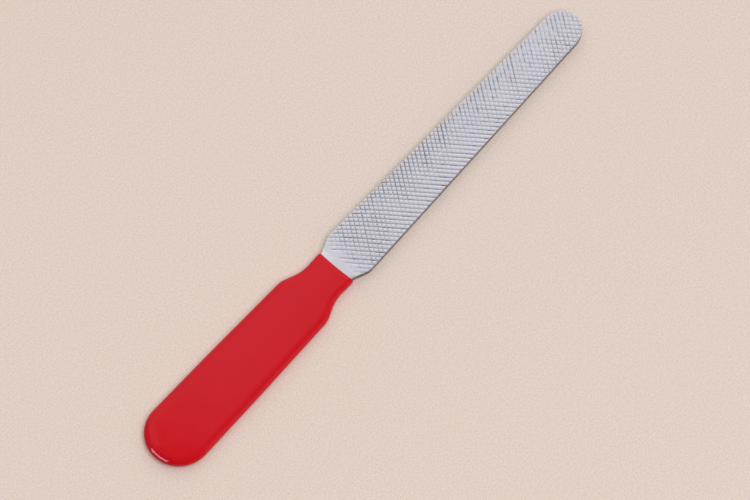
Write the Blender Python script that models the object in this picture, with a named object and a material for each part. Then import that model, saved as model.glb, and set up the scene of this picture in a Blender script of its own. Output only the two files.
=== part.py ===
"""Flat file with a dip-coated handle.

Two pieces: a stamped steel blank, whose blade is double-cut on both faces and whose tang runs the whole
length of the handle, and a soft vinyl sleeve that covers the tang and ends in a mouth at the neck.

Frame: +X runs from the butt to the tip, +Z is up, and the origin is under the middle of the file, on the
plane that the sleeve's flat underside rests on.
"""

import math

import bmesh
import bpy
from mathutils import Matrix, Vector

MM = 0.001

# Whole file
LENGTH = 175.0 * MM
HANDLE_THICKNESS = 3.5 * MM
BLANK_THICKNESS = 1.5 * MM
MID_HEIGHT = HANDLE_THICKNESS / 2

# Plan of the sleeve: distances from the butt along the file, and half widths
MOUTH_AT = 74.1 * MM
BUTT_HALF_WIDTH = 9.76 * MM
BOW_AT = 33.0 * MM  # the long sides are slightly bowed out around here
BOW_HALF_WIDTH = 9.36 * MM
BOW_RADIUS = 1500.0 * MM
SHOULDER_AT = 60.7 * MM
SHOULDER_HALF_WIDTH = 8.77 * MM
SHOULDER_RADIUS = 8.0 * MM
WAIST_AT = 66.9 * MM
WAIST_HALF_WIDTH = 6.13 * MM
WAIST_RADIUS = 12.0 * MM
MOUTH_HALF_WIDTH = 6.33 * MM
EDGE_ROLL = 2.6 * MM  # how far in from its outline the sleeve's face is flat
ROLL_STEPS = 5

# Plan of the steel: the tang keeps this far inside the sleeve's outline
COAT = 1.0 * MM
FIT_GAP = 0.3 * MM
CAVITY_CHAMFER = 0.35 * MM
NECK_FROM = 65.9 * MM
NECK_HALF_WIDTH = 5.5 * MM
FLARE_FROM = 74.3 * MM
FLARE_HALF_WIDTH = 5.65 * MM
FLARE_RADIUS = 4.0 * MM
HEEL_AT = 79.2 * MM
HEEL_HALF_WIDTH = 7.73 * MM
HEEL_RADIUS = 4.0 * MM
TIP_CORNER_AT = 171.3 * MM
TIP_HALF_WIDTH = 5.7 * MM
TIP_SIDE_RADIUS = 7.3 * MM
NOSE_HALF_WIDTH = 2.25 * MM  # half of the straight end that the nose's own arc rounds off

# Double cut: two families of V grooves that cross and leave four-sided teeth
CUT_ANGLE = math.radians(53.0)  # from the file's axis, one family each way
OVERCUT_PITCH = 1.246 * MM  # the grooves that lean back towards +Y
UPCUT_PITCH = 1.222 * MM  # the grooves that lean back towards -Y
CUT_DEPTH = 0.28 * MM
CUT_FROM = 77.6 * MM
RIDGE_DROP = 0.02 * MM  # the teeth's points lie this far under the blank's smooth face

ARC_STEPS = 12
FULL_ROUND = 0.995  # leaves a hair of flat between the two arcs of a round end
PAST = 2.0 * MM  # how far a cutter runs past what it cuts
SHARP_ANGLE = math.radians(40)

STEEL = {"colour": (0.55, 0.56, 0.60), "roughness": 0.35, "metallic": 1.0}
VINYL = {"colour": (0.58, 0.02, 0.03), "roughness": 0.22, "metallic": 0.0}


def clear_scene():
    for obj in list(bpy.data.objects):
        bpy.data.objects.remove(obj)


def material(name, colour, roughness, metallic):
    made = bpy.data.materials.new(name)
    made.use_nodes = True
    shader = made.node_tree.nodes["Principled BSDF"]
    shader.inputs["Base Color"].default_value = (*colour, 1.0)
    shader.inputs["Roughness"].default_value = roughness
    shader.inputs["Metallic"].default_value = metallic
    return made


def object_from(mesh_builder, name):
    """A scene object that holds the builder's faces, with its normals pointing out."""
    bmesh.ops.recalc_face_normals(mesh_builder, faces=mesh_builder.faces)
    mesh = bpy.data.meshes.new(name)
    mesh_builder.to_mesh(mesh)
    mesh_builder.free()
    obj = bpy.data.objects.new(name, mesh)
    bpy.context.scene.collection.objects.link(obj)
    return obj


def as_cutter(obj):
    obj.hide_render = True
    obj.display_type = "WIRE"
    return obj


def cut(obj, cutter):
    modifier = obj.modifiers.new("cut_" + cutter.name, "BOOLEAN")
    modifier.operation = "DIFFERENCE"
    modifier.solver = "EXACT"
    modifier.object = as_cutter(cutter)


# Plans. A corner is (x, y, radius), in metres from the middle of the file.


def along(distance_from_butt):
    return distance_from_butt - LENGTH / 2


def mirrored_plan(upper_corners):
    """The closed plan, counter-clockwise, from the corners of its +Y side listed butt to tip."""
    lower = [(x, -y, radius) for x, y, radius in upper_corners]
    return lower + upper_corners[::-1]


def end_radius(half_width, next_half_width, span):
    """The radius that turns a tapered end into one full round."""
    turn = math.pi / 2 + math.atan2(half_width - next_half_width, span)
    return FULL_ROUND * half_width / math.tan(turn / 2)


def inset_plan(corners, distance):
    """The plan with every side moved in by distance. A negative distance grows it."""
    made = []
    for index, (x, y, radius) in enumerate(corners):
        here = Vector((x, y))
        before = (here - Vector(corners[index - 1][:2])).normalized()
        after = (Vector(corners[(index + 1) % len(corners)][:2]) - here).normalized()
        in_before = Vector((-before.y, before.x))
        in_after = Vector((-after.y, after.x))
        moved = here + (in_before + in_after) * distance / (1 + in_before.dot(in_after))
        convex = before.cross(after) > 0
        new_radius = radius - distance if convex else radius + distance
        made.append((moved.x, moved.y, max(new_radius, 0.0) if radius else 0.0))
    return made


def plan_points(corners):
    """The plan's outline, with each corner's radius drawn as an arc."""
    points = []
    for index, (x, y, radius) in enumerate(corners):
        here = Vector((x, y))
        if not radius:
            points.append(here)
            continue
        before = (here - Vector(corners[index - 1][:2])).normalized()
        after = (Vector(corners[(index + 1) % len(corners)][:2]) - here).normalized()
        turn = math.atan2(before.cross(after), before.dot(after))
        start = here - before * radius * abs(math.tan(turn / 2))
        side = Vector((-before.y, before.x)) * math.copysign(radius, turn)
        centre = start + side
        steps = max(3, round(ARC_STEPS * abs(turn) / (math.pi / 2)))
        for step in range(steps + 1):
            points.append(centre + Matrix.Rotation(turn * step / steps, 2) @ -side)
    return points


def stacked_slab(corners, levels):
    """A closed solid. Levels are (inset, z): at height z the outline is the plan set in by inset."""
    builder = bmesh.new()
    rings = []
    for inset, z in levels:
        points = plan_points(inset_plan(corners, inset))
        rings.append([builder.verts.new((point.x, point.y, z)) for point in points])
    for lower, upper in zip(rings, rings[1:]):
        for index in range(len(lower)):
            after = (index + 1) % len(lower)
            builder.faces.new((lower[index], lower[after], upper[after], upper[index]))
    builder.faces.new(rings[0][::-1])
    builder.faces.new(rings[-1])
    return builder


# The steel blank


def blank_plan():
    tang_half_width = BUTT_HALF_WIDTH - COAT
    bow_half_width = BOW_HALF_WIDTH - COAT
    butt_radius = end_radius(tang_half_width, bow_half_width, BOW_AT - COAT)
    nose_radius = end_radius(NOSE_HALF_WIDTH, TIP_HALF_WIDTH, LENGTH - TIP_CORNER_AT)
    return mirrored_plan(
        [
            (along(COAT), tang_half_width, butt_radius),
            (along(BOW_AT), bow_half_width, BOW_RADIUS),
            (along(SHOULDER_AT), SHOULDER_HALF_WIDTH - COAT, SHOULDER_RADIUS - COAT),
            (along(NECK_FROM), NECK_HALF_WIDTH, WAIST_RADIUS),
            (along(FLARE_FROM), FLARE_HALF_WIDTH, FLARE_RADIUS),
            (along(HEEL_AT), HEEL_HALF_WIDTH, HEEL_RADIUS),
            (along(TIP_CORNER_AT), TIP_HALF_WIDTH, TIP_SIDE_RADIUS),
            (along(LENGTH), NOSE_HALF_WIDTH, nose_radius),
        ]
    )


def tooth_cells():
    """(i, j) of each tooth. Tooth (i, j) has its corners where groove lines i and i + 1 cross j and j + 1."""
    half_reach = HEEL_HALF_WIDTH + PAST
    most = math.ceil((LENGTH + PAST) / UPCUT_PITCH)
    cells = set()
    for i in range(-most, most):
        for j in range(-most, most):
            x, y = groove_crossing(i + 0.5, j + 0.5)
            if along(CUT_FROM) < x < along(LENGTH) + PAST and abs(y) < half_reach:
                cells.add((i, j))
    return cells


def groove_crossing(i, j):
    """Where overcut groove i crosses upcut groove j. The first two cross on the axis at CUT_FROM."""
    over = i * OVERCUT_PITCH
    up = j * UPCUT_PITCH
    x = along(CUT_FROM) + (over + up) / (2 * math.sin(CUT_ANGLE))
    y = (over - up) / (2 * math.cos(CUT_ANGLE))
    return x, y


def teeth_cutter(name, face_height, outward):
    """What is ground away over one face: its near side holds a pyramid-shaped hollow for each tooth."""
    cells = tooth_cells()
    floor_z = face_height - outward * CUT_DEPTH
    peak_z = face_height - outward * RIDGE_DROP
    far_z = face_height + outward * PAST
    builder = bmesh.new()
    near, far = {}, {}
    for i, j in sorted(cells):
        corners = ((i, j), (i + 1, j), (i + 1, j + 1), (i, j + 1))
        for corner in corners:
            if corner not in near:
                near[corner] = builder.verts.new((*groove_crossing(*corner), floor_z))
                far[corner] = builder.verts.new((*groove_crossing(*corner), far_z))
        peak = builder.verts.new((*groove_crossing(i + 0.5, j + 0.5), peak_z))
        beside = ((i, j - 1), (i + 1, j), (i, j + 1), (i - 1, j))
        for index, neighbour in enumerate(beside):
            a, b = corners[index], corners[(index + 1) % 4]
            builder.faces.new((near[a], near[b], peak))
            if neighbour not in cells:
                builder.faces.new((near[a], near[b], far[b], far[a]))
        builder.faces.new([far[corner] for corner in corners])
    return object_from(builder, name)


def make_blank(steel):
    bottom = MID_HEIGHT - BLANK_THICKNESS / 2
    top = MID_HEIGHT + BLANK_THICKNESS / 2
    blank = object_from(stacked_slab(blank_plan(), ((0.0, bottom), (0.0, top))), "file_blank")
    blank.data.materials.append(steel)
    cut(blank, teeth_cutter("top_teeth_cutter", top, 1))
    cut(blank, teeth_cutter("bottom_teeth_cutter", bottom, -1))
    return blank


# The vinyl sleeve


def sleeve_plan():
    """The sleeve's outline. It runs on past the mouth, where it is cut off square."""
    butt_radius = end_radius(BUTT_HALF_WIDTH, BOW_HALF_WIDTH, BOW_AT)
    past_mouth = MOUTH_AT + EDGE_ROLL + PAST
    return mirrored_plan(
        [
            (along(0.0), BUTT_HALF_WIDTH, butt_radius),
            (along(BOW_AT), BOW_HALF_WIDTH, BOW_RADIUS),
            (along(SHOULDER_AT), SHOULDER_HALF_WIDTH, SHOULDER_RADIUS),
            (along(WAIST_AT), WAIST_HALF_WIDTH, WAIST_RADIUS),
            (along(past_mouth), MOUTH_HALF_WIDTH, 0.0),
        ]
    )


def rolled_levels():
    """Levels of a slab whose edge is half an ellipse, from the underside's flat to the top's."""
    levels = []
    for step in range(-ROLL_STEPS, ROLL_STEPS + 1):
        angle = math.pi / 2 * step / ROLL_STEPS
        levels.append((EDGE_ROLL * (1 - math.cos(angle)), MID_HEIGHT * (1 + math.sin(angle))))
    return levels


def chamfered_levels(half_height):
    return (
        (CAVITY_CHAMFER, MID_HEIGHT - half_height),
        (0.0, MID_HEIGHT - half_height + CAVITY_CHAMFER),
        (0.0, MID_HEIGHT + half_height - CAVITY_CHAMFER),
        (CAVITY_CHAMFER, MID_HEIGHT + half_height),
    )


def mouth_cutter():
    """A box over all of the sleeve that runs on past the mouth."""
    builder = bmesh.new()
    bmesh.ops.create_cube(builder, size=1.0)
    length = EDGE_ROLL + 2 * PAST
    width = 2 * (MOUTH_HALF_WIDTH + PAST)
    height = HANDLE_THICKNESS + 2 * PAST
    for vert in builder.verts:
        vert.co.x = along(MOUTH_AT) + (vert.co.x + 0.5) * length
        vert.co.y *= width
        vert.co.z = MID_HEIGHT + vert.co.z * height
    return object_from(builder, "mouth_cutter")


def make_sleeve(vinyl):
    sleeve = object_from(stacked_slab(sleeve_plan(), rolled_levels()), "handle_sleeve")
    sleeve.data.materials.append(vinyl)
    cavity_plan = inset_plan(blank_plan(), -FIT_GAP)
    cavity_levels = chamfered_levels(BLANK_THICKNESS / 2 + FIT_GAP)
    cut(sleeve, mouth_cutter())
    cut(sleeve, object_from(stacked_slab(cavity_plan, cavity_levels), "cavity_cutter"))
    sleeve.data.shade_smooth()
    sleeve.data.set_sharp_from_angle(angle=SHARP_ANGLE)
    return sleeve


def main():
    clear_scene()
    make_blank(material("steel", **STEEL))
    make_sleeve(material("vinyl", **VINYL))


main()
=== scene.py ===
import math
import random

import bpy
import numpy as np
from mathutils import Matrix, Vector, noise


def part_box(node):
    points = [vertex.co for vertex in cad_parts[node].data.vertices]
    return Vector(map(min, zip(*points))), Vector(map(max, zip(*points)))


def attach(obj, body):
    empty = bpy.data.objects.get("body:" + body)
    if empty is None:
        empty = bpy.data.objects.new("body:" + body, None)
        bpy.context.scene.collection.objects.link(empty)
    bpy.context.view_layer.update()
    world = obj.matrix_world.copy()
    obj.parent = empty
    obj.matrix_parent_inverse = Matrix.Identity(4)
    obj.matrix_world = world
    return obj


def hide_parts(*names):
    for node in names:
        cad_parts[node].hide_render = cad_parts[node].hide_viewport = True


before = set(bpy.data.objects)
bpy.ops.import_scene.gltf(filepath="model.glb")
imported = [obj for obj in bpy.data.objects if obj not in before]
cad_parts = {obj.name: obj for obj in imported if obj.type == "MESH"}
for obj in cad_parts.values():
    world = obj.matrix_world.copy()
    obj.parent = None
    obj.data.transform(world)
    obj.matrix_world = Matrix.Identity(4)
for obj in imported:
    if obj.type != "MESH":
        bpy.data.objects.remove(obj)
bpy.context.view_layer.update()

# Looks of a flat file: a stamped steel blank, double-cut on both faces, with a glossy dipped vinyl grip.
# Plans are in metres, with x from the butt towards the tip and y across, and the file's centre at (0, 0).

MM = 0.001
BLANK_LOW, BLANK_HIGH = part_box("file_blank")
SLEEVE_LOW, SLEEVE_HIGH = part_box("handle_sleeve")

BUTT_X = SLEEVE_LOW.x
MOUTH_X = SLEEVE_HIGH.x
TIP_X = BLANK_HIGH.x
LENGTH = TIP_X - BUTT_X
MID_Z = (SLEEVE_LOW.z + SLEEVE_HIGH.z) / 2
SLEEVE_HALF = (SLEEVE_HIGH.z - SLEEVE_LOW.z) / 2  # half thickness
STEEL_HALF = (BLANK_HIGH.z - BLANK_LOW.z) / 2

# Plan of the grip. Names in _AT, _FROM and _TO are distances from the butt, here and for the steel.
BUTT_HALF_WIDTH = 9.76 * MM
BOW_AT = 33.0 * MM  # the long sides are slightly bowed out around here
BOW_HALF_WIDTH = 9.36 * MM
BOW_RADIUS = 1500.0 * MM
SHOULDER_AT = 60.7 * MM
SHOULDER_HALF_WIDTH = 8.77 * MM
SHOULDER_RADIUS = 8.0 * MM
WAIST_AT = 66.9 * MM
WAIST_HALF_WIDTH = 6.13 * MM
WAIST_RADIUS = 12.0 * MM
MOUTH_HALF_WIDTH = 6.33 * MM

# Section of the grip
EDGE_ROLL = 2.6 * MM
CROWN = 0.1 * MM  # how far the faces bulge in the middle of the width
THIN_FROM = 60.7 * MM  # the coat thins from here to the mouth
MOUTH_HALF = 1.22 * MM  # half thickness at the mouth
MOUTH_ROLL = 1.5 * MM
LIP_LENGTH = 0.45 * MM
LIP_STEPS = 6
END_SAG = 0.3 * MM  # how far the coat's end sags towards the butt in the middle of the width
SAG_RUN = 6.0 * MM
BOND_GAP = 0.01 * MM  # between the grip's inside and the tang
ROLL_STEPS = 20
FACE_STRIPS = 16
GRIP_SHARP_ANGLE = math.radians(60)

# Plan of the steel
COAT = 1.0 * MM  # how far the tang's outline lies inside the grip's
NECK_FROM = 65.9 * MM
NECK_HALF_WIDTH = 5.5 * MM
FLARE_FROM = 74.3 * MM
FLARE_HALF_WIDTH = 5.65 * MM
FLARE_RADIUS = 4.0 * MM
HEEL_AT = 79.2 * MM
HEEL_HALF_WIDTH = 7.73 * MM
HEEL_RADIUS = 4.0 * MM
TIP_CORNER_AT = 171.3 * MM
TIP_HALF_WIDTH = 5.7 * MM
TIP_SIDE_RADIUS = 7.3 * MM
NOSE_HALF_WIDTH = 2.25 * MM
RIM_RADIUS = 0.12 * MM  # rounding where a face meets the side wall
RIM_STEPS = 3
RIM_CUT_SHARE = 0.5  # how much of the face's painted groove shade and roughness the rim beside it takes
CUT_REGION_AT = 75.6 * MM  # the fine mesh of the faces starts here
STEEL_SHARP_ANGLE = math.radians(42)

# Double cut: two families of grooves, a and b
CUT_ANGLE = math.radians(53.0)
PITCH_A = 1.246 * MM
PITCH_B = 1.222 * MM
CUT_DEPTH = 0.2 * MM
CUT_BEND = 15.4  # how fast family a bends towards the butt on the +Y side, per metre
BEND_ROUNDS = 8  # rounds of solving for a point on a bent groove
GROOVE_HALF = 0.18  # half of a groove's width, in pitches
LAND_FROM = 0.25  # where the tooth's flat land starts, in pitches from the groove's middle
LAND_EDGE_DROP = 0.022 * MM  # how far a land is worn down where it meets a groove
MID_LAND = 0.5
TOOTH_LINES = (0.0, GROOVE_HALF, LAND_FROM, MID_LAND, 1 - LAND_FROM, 1 - GROOVE_HALF)
LAND_SHADE_AND_DULLING = 0.13  # how much of the grooves' painted shade and extra roughness the lands take
LINE_WANDER = 0.035  # how far a groove strays from its place, in pitches
LINE_DEPTH_SPREAD = 0.16
LATTICE_MARGIN = 6  # grooves laid out beyond each end of the blade
SPARE_LINES = 2  # random values kept in front of the first groove's
LINE_VALUES = 200  # random values drawn for a family, more than it has grooves
LATTICE_SEED = 7
TOP_SEED = 3
LOW_SEED = 5

# Where the cut starts. Spreads are the shares by which single grooves start early or late.
FAMILY_A_FROM = 76.4 * MM
FAMILY_A_SPREAD = 0.01
FAMILY_B_FROM = 76.8 * MM
FAMILY_B_SPREAD = 0.014
SCRATCH_SHARE = 0.55  # the part of a groove's strength that comes in the first scratch
SCRATCH_RUN = 0.8 * MM
DEEPENING_LAG = 0.5 * MM
DEEPENING_RUN = 7 * MM
RAGGED_START = 1.6  # how patchy a groove is while it fades in

# Strength of the cut along and across the blade, as shares of CUT_DEPTH
TREND_FROM = 80 * MM
TREND_TO = 170 * MM
MIDDLE_FROM = 80 * MM
MIDDLE_FULL_FROM = 110 * MM
MIDDLE_FULL_TO = 125 * MM
MIDDLE_TO = 165 * MM
FAMILY_A_STRENGTH = 0.39
FAMILY_A_LOSS = 0.38  # lost towards the tip on the +Y side
FAMILY_A_LEAST = 0.1
FAMILY_B_STRENGTH = 0.48
FAMILY_B_TIP_LOSS = 0.04
FAMILY_B_MIDDLE_LOSS = 0.06
FAMILY_B_HEEL_TILT = 0.08  # how much stronger the +Y side is than the -Y side
FAMILY_B_MIDDLE_TILT = 0.52  # the same, added in the middle of the blade
SLOW_SCALE = 180  # of the wide patches in the cut's strength, per metre
SLOW_SPREAD = 0.25
FINE_SCALE = 700
FINE_SPREAD = 0.35
FINE_SPREAD_GAIN = 0.35  # added towards the tip
CROSSING_POWER = 4  # how far the deeper of two crossing grooves wins over the other

VIEW_ELEVATION = math.radians(68.5)
VIEW_HEADING = math.radians(41.47)  # from +X towards +Y, seen from above
VIEW_DISTANCE = 1.5
VIEW_TARGET = Vector((-2.57 * MM, -4.53 * MM, MID_Z))
VIEW_WIDTH = 206.57 * MM  # what the picture's width covers at the target
VIEW_CLIP = (0.1, 10.0)
SENSOR_WIDTH = 36.0
FLOOR_HALF = 2.0

# Colours
STEEL_DULL = (0.95, 0.94, 0.975)
STEEL_BRIGHT = (0.99, 0.975, 1.0)
# painted shade: the darker tone the grooves take, standing in for the shade inside them
GROOVE_SHADE_COLOUR = (0.62, 0.61, 0.63)
# painted shade: the side wall's near-black tone, standing in for the shade along the blade's edge and the
# dark gap beneath it
WALL_SHADE_COLOUR = (0.06, 0.05, 0.045)
VINYL_DEEP = (0.655, 0.005, 0.011)
VINYL_BRIGHT = (0.685, 0.006, 0.013)
VINYL_SPECK = (0.70, 0.18, 0.18)
FLOOR_DEEP = (0.79, 0.636, 0.51)
FLOOR_BRIGHT = (0.95, 0.776, 0.638)

# The room, by direction. A pair is where along X or Y, from -1 to 1, a change of brightness starts and ends.
SKY_COLOUR = (0.943, 0.938, 1.0)
SKY_OVERHEAD = 0.92
SKY_RISE_Y = (-0.46, 0.26)
SKY_LEAST = 0.22  # share of the brightness left where the rise starts
LOW_STRIP_Y = (-0.95, -0.55)
LOW_STRIP_SHARE = 0.7  # added low down on the -Y side, as a light strip
FAR_Y = (0.45, 0.95)
FAR_SHARE = 0.7  # left low down on the +Y side
BUTT_END_X = (-0.3, 0.05)
BUTT_END_SHARE = 0.3
TIP_END_X = (0.27, 0.6)
TIP_END_STRENGTH = 0.2
SHADED_X = (0.222, 0.24)  # the sky is dimmer where X and Y are both below these, which the butt reflects
SHADED_Y = (0.27, 0.34)
SHADED_SHARE = 0.35

# Lamps. The key is only seen reflected in the grip, and the fill lights everything but isn't reflected.
KEY_DIRECTION = (-0.846, 0.166, 0.507)
KEY_DISTANCE = 3.0
KEY_WIDTH = 2.2
KEY_HEIGHT = 1.2
KEY_RADIANCE = 12
KEY_COLOUR = (0.66, 0.76, 1.0)
FILL_DIRECTION = (-0.1, -0.33, 0.94)
FILL_DISTANCE = 3.0
FILL_SIZE = 2.4
FILL_RADIANCE = 3.72
FILL_COLOUR = (0.86, 0.9, 1.0)

STEPS_PER_QUARTER = 24
LONGEST_STEP = 1.5 * MM
TOO_SHORT = 0.01  # a run shorter than this share of the longest step is left out
SAME_PLACE = 1e-4 * MM  # points closer than about this are one point
ON_LINE = 1e-5 * MM  # points nearer than this to a line lie on it
TINY = 1e-6 * MM  # stations nearer than this to a cut are left out beside the one made there

# Socket places of a Mix node that mixes colours
MIX_FACTOR = 0
MIX_FIRST = 6
MIX_SECOND = 7
MIX_RESULT = 2


# Plans


def from_butt(distance):
    return BUTT_X + distance


def smooth_step(value, low, high):
    """A smooth rise from 0 at low to 1 at high, for a number or an array."""
    t = np.clip((value - low) / (high - low), 0, 1)
    return t * t * (3 - 2 * t)


def end_radius(half_width, next_half_width, span):
    """The radius that turns a tapered end into one full round."""
    turn = math.pi / 2 + math.atan2(half_width - next_half_width, span)
    return half_width / math.tan(turn / 2)


def straight_run(start, end, inward):
    """Stations from start to end, without start. A station is (point, inward normal)."""
    steps = math.ceil((end - start).length / LONGEST_STEP - TOO_SHORT)
    return [(start.lerp(end, (step + 1) / steps), inward) for step in range(steps)]


def half_outline(start_x, corners, end):
    """Stations along the +Y half of an outline, from the pole at (start_x, 0) round each corner to end."""
    here = Vector((start_x, 0.0))
    stations = [(here, Vector((1.0, 0.0)))]
    stops = [Vector(corner[:2]) for corner in corners] + [Vector(end)]
    for index, (x, y, radius) in enumerate(corners):
        corner = Vector((x, y))
        previous = stops[index - 1] if index else Vector((start_x, 0.0))
        before = (corner - previous).normalized()
        after = (stops[index + 1] - corner).normalized()
        turn = math.atan2(before.cross(after), before.dot(after))
        arc_start = corner - before * radius * abs(math.tan(turn / 2))
        inward = Vector((before.y, -before.x))
        stations += straight_run(here, arc_start, inward)
        centre = arc_start + inward * math.copysign(radius, -turn)
        spoke = arc_start - centre
        steps = max(
            round(STEPS_PER_QUARTER * abs(turn) / (math.pi / 2)),
            math.ceil(radius * abs(turn) / LONGEST_STEP),
        )
        for step in range(1, steps + 1):
            bend = Matrix.Rotation(turn * step / steps, 2)
            stations.append((centre + bend @ spoke, bend @ inward))
        here = stations[-1][0]
        last_inward = Vector((after.y, -after.x))
    return stations + straight_run(here, Vector(end), last_inward)


def between(first, second, share):
    """The station that lies at a share of the way from the first to the second."""
    return first[0].lerp(second[0], share), first[1].lerp(second[1], share).normalized()


def clipped_at(stations, x):
    """The stations up to x, with the last one exactly there. It assumes that x never falls along them."""
    kept = [station for station in stations if station[0].x < x - TINY]
    last = kept[-1]
    beyond = stations[len(kept)]
    share = (x - last[0].x) / (beyond[0].x - last[0].x)
    return kept + [between(last, beyond, share)]


def started_at(stations, x):
    """The stations from x on, with the first one exactly there."""
    kept = clipped_at(stations, x)
    return [kept[-1]] + [station for station in stations[len(kept) - 1 :] if station[0].x > x + TINY]


def sleeve_stations():
    butt_radius = end_radius(BUTT_HALF_WIDTH, BOW_HALF_WIDTH, BOW_AT)
    corners = (
        (BUTT_X, BUTT_HALF_WIDTH, butt_radius),
        (from_butt(BOW_AT), BOW_HALF_WIDTH, BOW_RADIUS),
        (from_butt(SHOULDER_AT), SHOULDER_HALF_WIDTH, SHOULDER_RADIUS),
        (from_butt(WAIST_AT), WAIST_HALF_WIDTH, WAIST_RADIUS),
    )
    return half_outline(BUTT_X, corners, (MOUTH_X - LIP_LENGTH, MOUTH_HALF_WIDTH))


def blank_stations():
    tang_start = from_butt(COAT)
    tang_half_width = BUTT_HALF_WIDTH - COAT
    tang_radius = end_radius(tang_half_width, BOW_HALF_WIDTH - COAT, BOW_AT - COAT)
    nose_radius = end_radius(NOSE_HALF_WIDTH, TIP_HALF_WIDTH, LENGTH - TIP_CORNER_AT)
    corners = (
        (tang_start, tang_half_width, tang_radius),
        (from_butt(BOW_AT), BOW_HALF_WIDTH - COAT, BOW_RADIUS),
        (from_butt(SHOULDER_AT), SHOULDER_HALF_WIDTH - COAT, SHOULDER_RADIUS - COAT),
        (from_butt(NECK_FROM), NECK_HALF_WIDTH, WAIST_RADIUS),
        (from_butt(FLARE_FROM), FLARE_HALF_WIDTH, FLARE_RADIUS),
        (from_butt(HEEL_AT), HEEL_HALF_WIDTH, HEEL_RADIUS),
        (from_butt(TIP_CORNER_AT), TIP_HALF_WIDTH, TIP_SIDE_RADIUS),
        (TIP_X, NOSE_HALF_WIDTH, nose_radius),
    )
    return half_outline(tang_start, corners, (TIP_X, 0.0))


def object_of(name, points, faces, material):
    mesh = bpy.data.meshes.new(name)
    mesh.from_pydata([tuple(point) for point in points], [], faces)
    mesh.materials.append(material)
    mesh.validate()
    obj = bpy.data.objects.new(name, mesh)
    bpy.context.scene.collection.objects.link(obj)
    return obj


# The grip


def sleeve_half_at(x):
    """(half thickness, roll width) of the grip at x."""
    share = smooth_step(x, from_butt(THIN_FROM), MOUTH_X)
    half = SLEEVE_HALF - CROWN
    return half + (MOUTH_HALF - half) * share, EDGE_ROLL + (MOUTH_ROLL - EDGE_ROLL) * share


def sagged(point):
    """Near the mouth the coat's end sags towards the butt in the middle of the width."""
    share = smooth_step(point.x, MOUTH_X - SAG_RUN, MOUTH_X - LIP_LENGTH)
    across = min(abs(point.y) / MOUTH_HALF_WIDTH, 1.0)
    return Vector((point.x - END_SAG * share * (1 - across * across), point.y, point.z))


def outer_loop(station):
    """The grip's section through one station of its outline and the mirrored one."""
    point, inward = station
    half, roll = sleeve_half_at(point.x)
    side = []
    for step in range(-ROLL_STEPS, ROLL_STEPS + 1):
        angle = math.pi / 2 * step / ROLL_STEPS
        place = point + inward * roll * (1 - math.cos(angle))
        side.append(Vector((place.x, place.y, MID_Z + half * math.sin(angle))))
    inner = side[-1]
    top = []
    for strip in range(1, FACE_STRIPS):
        across = 1 - 2 * strip / FACE_STRIPS
        crown = CROWN * (1 - across * across) * smooth_step(inner.y, 0.0, EDGE_ROLL)
        top.append(Vector((inner.x, inner.y * across, inner.z + crown)))
    return closed_section(side, top)


def inner_loop(station):
    """The cavity's section, with as many points as the outer one."""
    point, inward = station
    place = point - inward * BOND_GAP
    half = STEEL_HALF + BOND_GAP
    side = []
    for step in range(-ROLL_STEPS, ROLL_STEPS + 1):
        side.append(Vector((place.x, place.y, MID_Z + half * step / ROLL_STEPS)))
    top = []
    for strip in range(1, FACE_STRIPS):
        across = 1 - 2 * strip / FACE_STRIPS
        top.append(Vector((place.x, place.y * across, MID_Z + half)))
    return closed_section(side, top)


def closed_section(side, top):
    """The whole ring: up the +Y side, across the top, down the -Y side and back under."""
    ring = side + top
    ring += [Vector((point.x, -point.y, point.z)) for point in reversed(side)]
    ring += [Vector((point.x, point.y, 2 * MID_Z - point.z)) for point in reversed(top)]
    return ring


def lip_loops(outer, inner):
    """Rings that round the coat's end down onto the steel."""
    loops = []
    for step in range(1, LIP_STEPS + 1):
        angle = math.pi / 2 * step / LIP_STEPS
        loop = []
        for outside, inside in zip(outer, inner):
            point = inside.lerp(outside, math.cos(angle))
            point.x = outside.x + LIP_LENGTH * math.sin(angle)
            loop.append(point)
        loops.append(loop)
    return loops


def make_grip(material):
    outer = [[sagged(point) for point in outer_loop(station)] for station in sleeve_stations()]
    tang = clipped_at(blank_stations(), MOUTH_X)
    inner = [[sagged(point) for point in inner_loop(station)] for station in reversed(tang)]
    loops = outer + lip_loops(outer[-1], inner[0]) + inner[1:]
    count = len(loops[0])
    points = [point for loop in loops for point in loop]
    faces = []
    for row in range(len(loops) - 1):
        for index in range(count):
            after = (index + 1) % count
            near, far = row * count, (row + 1) * count
            faces.append((near + index, near + after, far + after, far + index))
    points, faces = welded(points, faces)
    grip = object_of("vinyl_grip", points, faces, material)
    grip.data.shade_smooth()
    grip.data.set_sharp_from_angle(angle=GRIP_SHARP_ANGLE)
    return grip


def welded(points, faces):
    """The same surface with coincident points made one, and the faces that this flattens dropped."""
    places = {}
    kept, index_of = [], []
    for point in points:
        key = tuple(round(value / SAME_PLACE) for value in point)
        if key not in places:
            places[key] = len(kept)
            kept.append(point)
        index_of.append(places[key])
    made = []
    for face in faces:
        ring = [index_of[index] for index in face]
        ring = [index for place, index in enumerate(ring) if index != ring[place - 1]]
        if len(set(ring)) >= 3:
            made.append(ring)
    return kept, made


# The steel


def line_offsets(count, generator):
    """How far each groove of a family strays, in pitches."""
    return np.array([generator.uniform(-LINE_WANDER, LINE_WANDER) for _ in range(count)])


def lattice_place(a, b, wander_a, wander_b):
    """Plan position of lattice point (a, b). A whole a or b is the middle of one of that family's grooves."""
    index = np.arange(len(wander_a)) - LATTICE_MARGIN
    pa = PITCH_A * (a + np.interp(a, index, wander_a))
    pb = PITCH_B * (b + np.interp(b, index, wander_b))
    y = (pa - pb) / (2 * math.cos(CUT_ANGLE))
    for _ in range(BEND_ROUNDS):
        bend = CUT_BEND * np.maximum(y, 0.0) ** 2 / 2
        y = (pa - pb - bend) / (2 * math.cos(CUT_ANGLE))
    x = (pb + y * math.cos(CUT_ANGLE)) / math.sin(CUT_ANGLE)
    return from_butt(CUT_REGION_AT) + x, y


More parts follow.
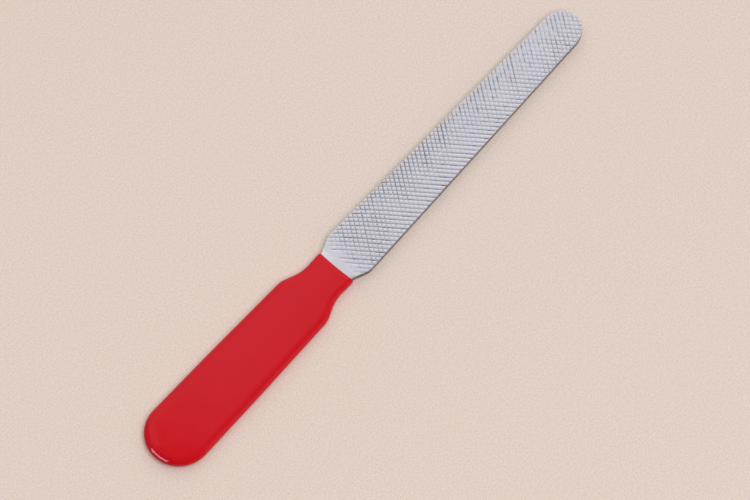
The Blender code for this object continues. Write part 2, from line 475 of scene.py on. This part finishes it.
def clip_polygon(ring, edges):
    """The part of a polygon of rows (x, y, a, b) on the inner side of every edge (point, inward normal)."""
    for (ex, ey), (nx, ny) in edges:
        heights = [(row[0] - ex) * nx + (row[1] - ey) * ny for row in ring]
        if min(heights) >= 0:
            continue
        made = []
        for index, row in enumerate(ring):
            before, low = ring[index - 1], heights[index - 1]
            high = heights[index]
            if (low < 0) != (high < 0):
                share = low / (low - high)
                made.append(tuple(p + (q - p) * share for p, q in zip(before, row)))
            if high >= 0:
                made.append(row)
        ring = made
        if len(ring) < 3:
            return []
    return ring


def region_edges(outline):
    """Edges of the closed convex polygon, each with its inward normal. The outline runs clockwise."""
    edges = []
    for index, point in enumerate(outline):
        run = outline[(index + 1) % len(outline)] - point
        if run.length > SAME_PLACE:
            run.normalize()
            edges.append(((point.x, point.y), (run.y, -run.x)))
    return edges


def cut_region(outline):
    """Plan mesh of the toothed face: rows (x, y, a, b) and faces, cut to the outline."""
    generator = random.Random(LATTICE_SEED)
    most = math.ceil((LENGTH - CUT_REGION_AT) * math.sin(CUT_ANGLE) / PITCH_B) + LATTICE_MARGIN
    wander_a = line_offsets(most + LATTICE_MARGIN + 1, generator)
    wander_b = line_offsets(most + LATTICE_MARGIN + 1, generator)
    values = np.array([whole + part for whole in range(-LATTICE_MARGIN, most) for part in TOOTH_LINES])
    a, b = np.meshgrid(values, values, indexing="ij")
    x, y = lattice_place(a, b, wander_a, wander_b)
    edges = region_edges(outline)
    height = np.full(x.shape, np.inf)
    for (ex, ey), (nx, ny) in edges:
        height = np.minimum(height, (x - ex) * nx + (y - ey) * ny)
    rows, faces, index_of = [], [], {}

    def index_for(row):
        key = (round(row[0] / SAME_PLACE), round(row[1] / SAME_PLACE))
        if key not in index_of:
            index_of[key] = len(rows)
            rows.append(row)
        return index_of[key]

    reach = PITCH_A / 2
    near = height > -reach
    crossing = near[:-1, :-1] | near[1:, :-1] | near[1:, 1:] | near[:-1, 1:]
    for i, j in zip(*np.nonzero(crossing)):
        corners = ((i, j), (i + 1, j), (i + 1, j + 1), (i, j + 1))
        ring = [(float(x[c]), float(y[c]), float(a[c]), float(b[c])) for c in corners]
        if min(height[c] for c in corners) < 0:
            ring = clip_polygon(ring, edges)
        face = []
        for row in ring:
            index = index_for(row)
            if index not in face:
                face.append(index)
        if len(face) >= 3:
            faces.append(face)
    return rows, faces


def groove_shape(position):
    """(how deep, how far down the land's edge) at a position in pitches, each from 0 to 1."""
    off = np.abs(position - np.round(position))
    depth = np.clip(1 - off / GROOVE_HALF, 0, 1)
    edge = np.clip((LAND_FROM - off) / (LAND_FROM - GROOVE_HALF), 0, 1)
    return depth, edge


def per_line(position, spread, generator):
    """One random value for each groove, read at the groove nearest to each position."""
    table = [generator.uniform(1 - spread, 1 + spread) for _ in range(LINE_VALUES)]
    return np.array(table)[np.round(position).astype(int) + LATTICE_MARGIN + SPARE_LINES]


def fade_in(x, start):
    """A groove's strength along the file: a faint scratch at first, then deeper."""
    scratch = smooth_step(x, start, start + SCRATCH_RUN)
    deepening = smooth_step(x, start + DEEPENING_LAG, start + DEEPENING_RUN)
    return SCRATCH_SHARE * scratch + (1 - SCRATCH_SHARE) * deepening


def patches(x, y, scale, seed):
    """Smooth noise at each plan point, between about -1 and 1."""
    return np.array([noise.noise(Vector((px * scale, py * scale, seed))) for px, py in zip(x, y)])


def cut_strengths(x, y, a, b, fine, generator):
    """The strength of each family at each plan point. It changes along and across the blade."""
    side = smooth_step(y, -HEEL_HALF_WIDTH, HEEL_HALF_WIDTH)
    strength_a = fade_in(x, FAMILY_A_FROM * per_line(a, FAMILY_A_SPREAD, generator))
    strength_b = fade_in(x, FAMILY_B_FROM * per_line(b, FAMILY_B_SPREAD, generator))
    strength_a *= 1 + RAGGED_START * fine * (1 - strength_a)
    strength_b *= 1 + RAGGED_START * fine * (1 - strength_b)
    towards_tip = smooth_step(x, TREND_FROM, TREND_TO)
    middle = smooth_step(x, MIDDLE_FROM, MIDDLE_FULL_FROM)
    middle = middle * (1 - smooth_step(x, MIDDLE_FULL_TO, MIDDLE_TO))
    strength_a *= np.maximum(FAMILY_A_STRENGTH - FAMILY_A_LOSS * towards_tip * side, FAMILY_A_LEAST)
    tilt = FAMILY_B_HEEL_TILT * (1 - towards_tip) + FAMILY_B_MIDDLE_TILT * middle
    loss = FAMILY_B_TIP_LOSS * towards_tip + FAMILY_B_MIDDLE_LOSS * middle
    strength_b *= FAMILY_B_STRENGTH - loss + (side - 0.5) * tilt
    strength_a = strength_a * per_line(a, LINE_DEPTH_SPREAD, generator)
    strength_b = strength_b * per_line(b, LINE_DEPTH_SPREAD, generator)
    return strength_a, strength_b


def face_depths(rows, seed):
    """How far each plan point lies below the blank's smooth face, and its share of the full cut, which sets
    the grooves' painted shade and roughness.
    """
    generator = random.Random(seed)
    x, y, a, b = np.array(rows).T
    x = x - BUTT_X
    depth_a, edge_a = groove_shape(a)
    depth_b, edge_b = groove_shape(b)
    fine = patches(x, y, FINE_SCALE, seed)
    slow = patches(x, y, SLOW_SCALE, seed)
    strength_a, strength_b = cut_strengths(x, y, a, b, fine, generator)
    fine_spread = FINE_SPREAD + FINE_SPREAD_GAIN * smooth_step(x, TREND_FROM, TREND_TO)
    patchy = 1 + SLOW_SPREAD * slow + fine_spread * fine
    crossing = (depth_a * strength_a) ** CROSSING_POWER + (depth_b * strength_b) ** CROSSING_POWER
    cut = crossing ** (1 / CROSSING_POWER) * patchy
    edge = np.maximum(edge_a * np.minimum(strength_a, 1), edge_b * np.minimum(strength_b, 1))
    # Painted shade: the cut lands take a little of the grooves' darker tone, along with their roughness.
    land_shade_and_dulling = LAND_SHADE_AND_DULLING * fade_in(x, CUT_REGION_AT)
    return cut * CUT_DEPTH + edge * LAND_EDGE_DROP, np.clip(cut + land_shade_and_dulling, 0, 1)


def boundary_loop(faces):
    """The outline of a patch of faces, in order, the way its faces run."""
    follows = {}
    for face in faces:
        for index, vertex in enumerate(face):
            follows[(face[index - 1], vertex)] = True
    following = {p: q for p, q in follows if (q, p) not in follows}
    start = min(following)
    loop = [start]
    while following[loop[-1]] != start:
        loop.append(following[loop[-1]])
    return loop


def nearest_outward(point, stations):
    """The outline's outward normal beside a point, read between the two stations around it."""
    best = None
    for first, second in zip(stations, stations[1:]):
        run = second[0] - first[0]
        share = min(max((point - first[0]).dot(run) / run.length_squared, 0.0), 1.0)
        gap = (first[0].lerp(second[0], share) - point).length
        if best is None or gap < best[0]:
            best = (gap, between(first, second, share)[1])
    return -best[1]


def inset_stations(stations, distance):
    """The same outline, drawn in by a distance."""
    return [(point + inward * distance, inward) for point, inward in stations]


def mirrored(stations):
    """The -Y half of the outline, from the end back to the start."""
    return [(Vector((p.x, -p.y)), Vector((n.x, -n.y))) for p, n in reversed(stations)]


def steel_plan(stations):
    """Plan mesh of a whole face of the blank: rows (x, y, a, b), and faces that run counter-clockwise."""
    region_x = from_butt(CUT_REGION_AT)
    blade = started_at(stations, region_x)
    tang = clipped_at(stations, region_x)
    blade_outline = [point for point, _ in blade] + [point for point, _ in mirrored(blade)[1:]]
    rows, faces = cut_region(blade_outline)
    on_line = sorted((row[1], index) for index, row in enumerate(rows) if abs(row[0] - region_x) < ON_LINE)
    tang_points = [point for point, _ in mirrored(tang)[1:]] + [point for point, _ in tang[1:-1]]
    first_tang = len(rows)
    rows += [(point.x, point.y, MID_LAND, MID_LAND) for point in tang_points]
    tang_face = list(range(first_tang, len(rows))) + [index for _, index in reversed(on_line)]
    if signed_area(rows, tang_face) * signed_area(rows, faces[0]) < 0:
        tang_face.reverse()
    faces.append(tang_face)
    if signed_area(rows, faces[0]) < 0:
        faces = [face[::-1] for face in faces]
    return rows, faces


def signed_area(rows, face):
    """Twice a plan face's area, positive where it runs counter-clockwise."""
    total = 0.0
    for index, vertex in enumerate(face):
        x, y = rows[vertex][:2]
        before_x, before_y = rows[face[index - 1]][:2]
        total += before_x * y - x * before_y
    return total


def side_wall(points, cut_shares, loop, outward):
    """Adds the points of the rounded rims and the side wall. Returns their faces and all the wall shares."""
    count = len(points) // 2
    wall_shares = [0.0] * len(points)
    rings = [loop]
    levels = [(step, 1) for step in range(1, RIM_STEPS + 1)]
    levels += [(step, -1) for step in range(RIM_STEPS, 0, -1)]
    for step, sign in levels:
        angle = math.pi / 2 * step / RIM_STEPS
        ring = []
        for index, normal in zip(loop, outward):
            start = points[index if sign > 0 else index + count]
            place = Vector(start[:2]) + normal * RIM_RADIUS * math.sin(angle)
            ring.append(len(points))
            points.append((place.x, place.y, start[2] - sign * RIM_RADIUS * (1 - math.cos(angle))))
            # Painted shade: each rim point carries part of the face's groove shade.
            cut_shares.append(cut_shares[index] * RIM_CUT_SHARE)
            wall_shares.append(1.0 if step == RIM_STEPS else 0.0)
        rings.append(ring)
    rings.append([index + count for index in loop])
    faces = []
    for upper, lower in zip(rings, rings[1:]):
        for index in range(len(loop)):
            after = (index + 1) % len(loop)
            faces.append((upper[index], lower[index], lower[after], upper[after]))
    return faces, wall_shares


def make_steel(material):
    stations = inset_stations(blank_stations(), RIM_RADIUS)
    rows, plan_faces = steel_plan(stations)
    count = len(rows)
    top_drop, top_cut = face_depths(rows, TOP_SEED)
    low_drop, low_cut = face_depths(rows, LOW_SEED)
    points = [(row[0], row[1], MID_Z + STEEL_HALF - drop) for row, drop in zip(rows, top_drop)]
    points += [(row[0], row[1], MID_Z - STEEL_HALF + drop) for row, drop in zip(rows, low_drop)]
    cut_shares = list(top_cut) + list(low_cut)
    faces = plan_faces + [[index + count for index in reversed(face)] for face in plan_faces]

    outline = stations + mirrored(stations)[1:]
    loop = boundary_loop(plan_faces)
    outward = [nearest_outward(Vector(rows[index][:2]), outline) for index in loop]
    wall_faces, wall_shares = side_wall(points, cut_shares, loop, outward)
    steel = object_of("steel_file", points, faces + wall_faces, material)
    for name, shares in (("cut_share", cut_shares), ("wall_share", wall_shares)):
        attribute = steel.data.attributes.new(name, "FLOAT", "POINT")
        attribute.data.foreach_set("value", shares)
    steel.data.shade_smooth()
    steel.data.set_sharp_from_angle(angle=STEEL_SHARP_ANGLE)
    return steel


# Materials


def new_material(name):
    material = bpy.data.materials.new(name)
    material.use_nodes = True
    return material, material.node_tree.nodes, material.node_tree.links


def noise_node(nodes, links, coordinates, scale, detail, stretch=(1, 1, 1)):
    mapping = nodes.new("ShaderNodeMapping")
    mapping.inputs["Scale"].default_value = stretch
    links.new(coordinates, mapping.inputs["Vector"])
    texture = nodes.new("ShaderNodeTexNoise")
    texture.inputs["Scale"].default_value = scale
    texture.inputs["Detail"].default_value = detail
    links.new(mapping.outputs["Vector"], texture.inputs["Vector"])
    return texture.outputs["Fac"]


def ranged(nodes, links, value, to_low, to_high, from_low=0.3, from_high=0.7):
    """A value mapped evenly from one range to another. Noise mostly runs from 0.3 to 0.7."""
    node = nodes.new("ShaderNodeMapRange")
    node.inputs["From Min"].default_value = from_low
    node.inputs["From Max"].default_value = from_high
    node.inputs["To Min"].default_value = to_low
    node.inputs["To Max"].default_value = to_high
    links.new(value, node.inputs["Value"])
    return node.outputs["Result"]


def mixed(nodes, links, share, first, second):
    node = nodes.new("ShaderNodeMix")
    node.data_type = "RGBA"
    for socket, value in ((node.inputs[MIX_FIRST], first), (node.inputs[MIX_SECOND], second)):
        if isinstance(value, tuple):
            socket.default_value = (*value, 1.0)
        else:
            links.new(value, socket)
    links.new(share, node.inputs[MIX_FACTOR])
    return node.outputs[MIX_RESULT]


def bump(nodes, links, height, strength, distance, normal=None):
    node = nodes.new("ShaderNodeBump")
    node.inputs["Strength"].default_value = strength
    node.inputs["Distance"].default_value = distance
    links.new(height, node.inputs["Height"])
    if normal is not None:
        links.new(normal, node.inputs["Normal"])
    return node.outputs["Normal"]


def math_node(nodes, links, operation, *values):
    node = nodes.new("ShaderNodeMath")
    node.operation = operation
    for socket, value in zip(node.inputs, values):
        if isinstance(value, (int, float)):
            socket.default_value = value
        else:
            links.new(value, socket)
    return node.outputs[0]


def product(nodes, links, result, *factors):
    for factor in factors:
        result = math_node(nodes, links, "MULTIPLY", result, factor)
    return result


def mesh_value(nodes, name):
    """A number that is stored at each point of the mesh."""
    node = nodes.new("ShaderNodeAttribute")
    node.attribute_name = name
    return node.outputs["Fac"]


def steel_material():
    material, nodes, links = new_material("cut_steel")
    shader = nodes["Principled BSDF"]
    place = nodes.new("ShaderNodeTexCoord").outputs["Object"]
    cut = mesh_value(nodes, "cut_share")
    wall = mesh_value(nodes, "wall_share")
    mottle = noise_node(nodes, links, place, scale=160, detail=4)
    grain = noise_node(nodes, links, place, scale=1500, detail=3, stretch=(0.12, 1, 1))
    tone = mixed(nodes, links, ranged(nodes, links, mottle, 0, 1), STEEL_DULL, STEEL_BRIGHT)
    # Painted shade: the grooves, and by their shares the lands and rims, are darkened towards the groove
    # shade colour.
    groove_shade = ranged(nodes, links, cut, 0, 1, from_low=0.05, from_high=0.75)
    tone = mixed(nodes, links, groove_shade, tone, GROOVE_SHADE_COLOUR)
    # Painted shade: the side wall is coloured near black for the shade along the edge and under it.
    tone = mixed(nodes, links, wall, tone, WALL_SHADE_COLOUR)
    links.new(tone, shader.inputs["Base Color"])
    metallic = ranged(nodes, links, wall, to_low=1.0, to_high=0.2, from_low=0, from_high=1)
    links.new(metallic, shader.inputs["Metallic"])
    smooth = ranged(nodes, links, grain, to_low=0.31, to_high=0.39)
    groove_roughening = 0.15
    rough = math_node(nodes, links, "MULTIPLY_ADD", cut, groove_roughening, smooth)
    links.new(rough, shader.inputs["Roughness"])
    brushed = bump(nodes, links, grain, strength=0.25, distance=0.02 * MM)
    links.new(brushed, shader.inputs["Normal"])
    return material


def vinyl_material():
    material, nodes, links = new_material("dipped_vinyl")
    shader = nodes["Principled BSDF"]
    place = nodes.new("ShaderNodeTexCoord").outputs["Object"]
    cloud = noise_node(nodes, links, place, scale=60, detail=3)
    red = mixed(nodes, links, ranged(nodes, links, cloud, 0, 1), VINYL_DEEP, VINYL_BRIGHT)
    specks = nodes.new("ShaderNodeTexVoronoi")
    specks.inputs["Scale"].default_value = 260
    links.new(place, specks.inputs["Vector"])
    speck = ranged(nodes, links, specks.outputs["Distance"], 0.25, 0, from_low=0.02, from_high=0.06)
    links.new(mixed(nodes, links, speck, red, VINYL_SPECK), shader.inputs["Base Color"])
    ripple = noise_node(nodes, links, place, scale=90, detail=2)
    peel = noise_node(nodes, links, place, scale=900, detail=2)
    rough = ranged(nodes, links, cloud, to_low=0.05, to_high=0.07)
    links.new(rough, shader.inputs["Roughness"])
    shader.inputs["IOR"].default_value = 1.45
    shader.inputs["Specular IOR Level"].default_value = 0.3
    waves = bump(nodes, links, ripple, strength=0.25, distance=0.05 * MM)
    skin = bump(nodes, links, peel, strength=0.12, distance=0.01 * MM, normal=waves)
    links.new(skin, shader.inputs["Normal"])
    return material


def floor_material():
    material, nodes, links = new_material("pale_floor")
    shader = nodes["Principled BSDF"]
    place = nodes.new("ShaderNodeTexCoord").outputs["Object"]
    fleck = noise_node(nodes, links, place, scale=1900, detail=4)
    tone = mixed(nodes, links, ranged(nodes, links, fleck, 0, 1), FLOOR_DEEP, FLOOR_BRIGHT)
    links.new(tone, shader.inputs["Base Color"])
    shader.inputs["Roughness"].default_value = 0.8
    shader.inputs["Specular IOR Level"].default_value = 0.2
    weave = bump(nodes, links, fleck, strength=0.5, distance=0.15 * MM)
    links.new(weave, shader.inputs["Normal"])
    return material


# Stage


def make_floor(material):
    half = FLOOR_HALF
    corners = [(-half, -half, 0), (half, -half, 0), (half, half, 0), (-half, half, 0)]
    floor = object_of("floor", corners, [(0, 1, 2, 3)], material)


def make_camera():
    heading = Vector((math.cos(VIEW_HEADING), math.sin(VIEW_HEADING), 0))
    ahead = heading * math.cos(VIEW_ELEVATION) - Vector((0, 0, math.sin(VIEW_ELEVATION)))
    camera = bpy.data.objects.new("camera", bpy.data.cameras.new("camera"))
    camera.data.sensor_width = SENSOR_WIDTH
    camera.data.lens = SENSOR_WIDTH * VIEW_DISTANCE / VIEW_WIDTH
    camera.data.clip_start, camera.data.clip_end = VIEW_CLIP
    camera.location = VIEW_TARGET - ahead * VIEW_DISTANCE
    camera.rotation_euler = ahead.to_track_quat("-Z", "Y").to_euler()
    bpy.context.scene.collection.objects.link(camera)
    bpy.context.scene.camera = camera


def softbox(name, direction, distance, width, height, radiance, colour):
    """A lamp that faces the file, its width level. Radiance is how bright its surface looks."""
    lamp = bpy.data.lights.new(name, "AREA")
    lamp.shape = "RECTANGLE"
    lamp.size = width
    lamp.size_y = height
    lamp.energy = radiance * math.pi * width * height
    lamp.color = colour
    obj = bpy.data.objects.new(name, lamp)
    way = Vector(direction).normalized()
    obj.location = way * distance
    obj.rotation_euler = (-way).to_track_quat("-Z", "Y").to_euler()
    bpy.context.scene.collection.objects.link(obj)
    return obj


def stepped(nodes, links, value, stretch, to_low, to_high):
    """A smooth step from to_low to to_high, over a stretch (from, to) of the value."""
    node = nodes.new("ShaderNodeMapRange")
    node.interpolation_type = "SMOOTHSTEP"
    node.inputs["From Min"].default_value = stretch[0]
    node.inputs["From Max"].default_value = stretch[1]
    node.inputs["To Min"].default_value = to_low
    node.inputs["To Max"].default_value = to_high
    links.new(value, node.inputs["Value"])
    return node.outputs["Result"]


def make_sky():
    """A room that is bright overhead and dims towards -X and -Y, with a light strip low down at -Y."""
    world = bpy.data.worlds.new("studio")
    bpy.context.scene.world = world
    world.use_nodes = True
    nodes, links = world.node_tree.nodes, world.node_tree.links
    axes = nodes.new("ShaderNodeSeparateXYZ")
    links.new(nodes.new("ShaderNodeTexCoord").outputs["Generated"], axes.inputs[0])
    x, y = axes.outputs["X"], axes.outputs["Y"]

    rise = ranged(nodes, links, y, 0, 1, *SKY_RISE_Y)
    squared = math_node(nodes, links, "MULTIPLY", rise, rise)
    across = ranged(nodes, links, squared, to_low=SKY_LEAST, to_high=1.0, from_low=0, from_high=1)
    low_strip = stepped(nodes, links, y, LOW_STRIP_Y, LOW_STRIP_SHARE, 0.0)
    across = math_node(nodes, links, "ADD", across, low_strip)
    far_side = stepped(nodes, links, y, FAR_Y, 1.0, FAR_SHARE)
    along = stepped(nodes, links, x, BUTT_END_X, BUTT_END_SHARE, 1.0)
    in_x = stepped(nodes, links, x, SHADED_X, 1.0, 0.0)
    in_y = stepped(nodes, links, y, SHADED_Y, 1.0, 0.0)
    in_both = math_node(nodes, links, "MULTIPLY", in_x, in_y)
    shaded = ranged(nodes, links, in_both, to_low=1.0, to_high=SHADED_SHARE, from_low=0, from_high=1)
    overhead = product(nodes, links, across, along, far_side, shaded, SKY_OVERHEAD)
    tip_end = stepped(nodes, links, x, TIP_END_X, 0.0, TIP_END_STRENGTH)

    background = nodes["Background"]
    background.inputs["Color"].default_value = (*SKY_COLOUR, 1)
    links.new(math_node(nodes, links, "ADD", overhead, tip_end), background.inputs["Strength"])


def make_lights(grip):
    make_sky()
    key = softbox("key", KEY_DIRECTION, KEY_DISTANCE, KEY_WIDTH, KEY_HEIGHT, KEY_RADIANCE, KEY_COLOUR)
    key.visible_diffuse = False
    key_lit = bpy.data.collections.new("lit_by_key")
    key_lit.objects.link(grip)
    key.light_linking.receiver_collection = key_lit
    fill = softbox("fill", FILL_DIRECTION, FILL_DISTANCE, FILL_SIZE, FILL_SIZE, FILL_RADIANCE, FILL_COLOUR)
    fill.visible_glossy = False
    bpy.context.scene.view_settings.view_transform = "Standard"


def main():
    steel = make_steel(steel_material())
    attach(steel, "root")
    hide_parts("file_blank")
    grip = make_grip(vinyl_material())
    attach(grip, "root")
    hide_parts("handle_sleeve")
    make_floor(floor_material())
    make_camera()
    make_lights(grip)
    bpy.context.view_layer.update()


main()
